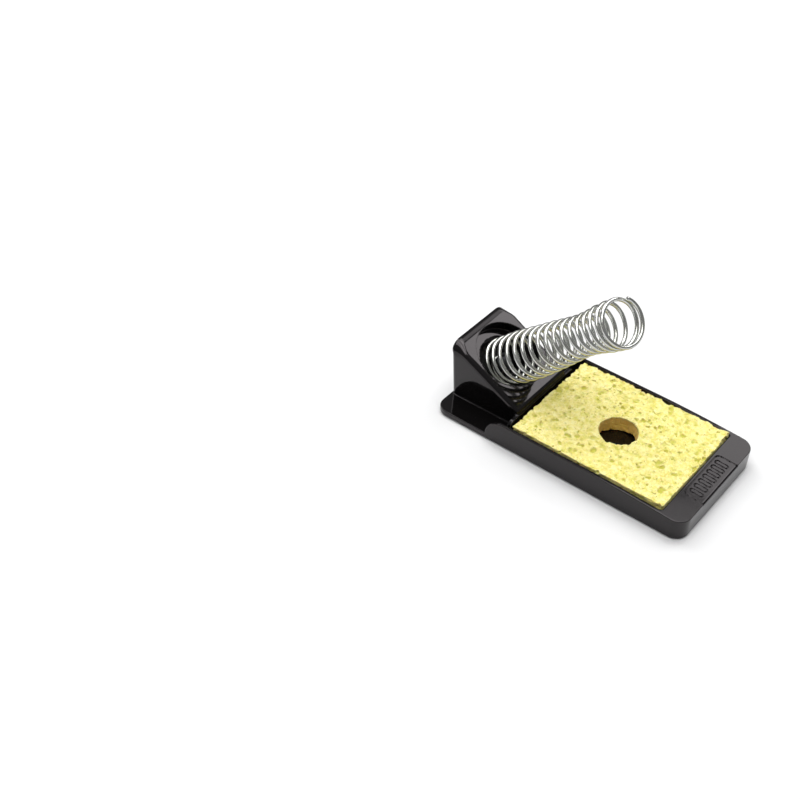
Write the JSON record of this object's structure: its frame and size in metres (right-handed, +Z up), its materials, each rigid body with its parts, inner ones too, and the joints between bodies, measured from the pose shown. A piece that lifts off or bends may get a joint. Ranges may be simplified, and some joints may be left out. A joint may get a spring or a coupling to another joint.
{
  "type": "soldering iron stand",
  "caption": "Bench stand for a soldering iron: weighted black moulded base with a sponge tray and a rear block that holds a slanting steel coil for the hot iron.",
  "frame": {"origin": "on the bench, under the middle of the base", "axes": "+Z up, +Y from the front panel towards the block at the rear, X across the width"},
  "size_m": [0.08, 0.1639, 0.0964],
  "materials": {
    "black_plastic": "glossy black moulding",
    "plated_wire": "bright zinc plate",
    "cellulose": "pale yellow porous cellulose",
    "zinc_plated_steel": "zinc plated",
    "bare_steel": "rolled steel sheet",
    "foot_rubber": "matt"
  },
  "bodies": {
    "stand": {"base_moulding": "black_plastic", "retainer_washer": "zinc_plated_steel", "retainer_screw": "zinc_plated_steel", "ballast_plate": "bare_steel", "plate_screw_1": "zinc_plated_steel", "plate_screw_2": "zinc_plated_steel", "plate_screw_3": "zinc_plated_steel", "plate_screw_4": "zinc_plated_steel", "rubber_foot_1": "foot_rubber", "rubber_foot_2": "foot_rubber", "rubber_foot_3": "foot_rubber", "rubber_foot_4": "foot_rubber"},
    "coil": {"holder_spring": "plated_wire"},
    "sponge_pad": {"sponge": "cellulose"}
  },
  "joints": [
    {"name": "coil_nod", "type": "hinge", "parent": "stand", "child": "coil", "pos_m": [0, 0.06328, 0.02073], "axis": [1, 0, 0], "range_deg": [-3, 3], "stiffness_Nm_per_rad": 0.25, "springref_deg": -3.84},
    {"name": "sponge_lift", "type": "slide", "parent": "stand", "child": "sponge_pad", "axis": [0, 0, 1], "range_m": [0, 0.012]}
  ]
}
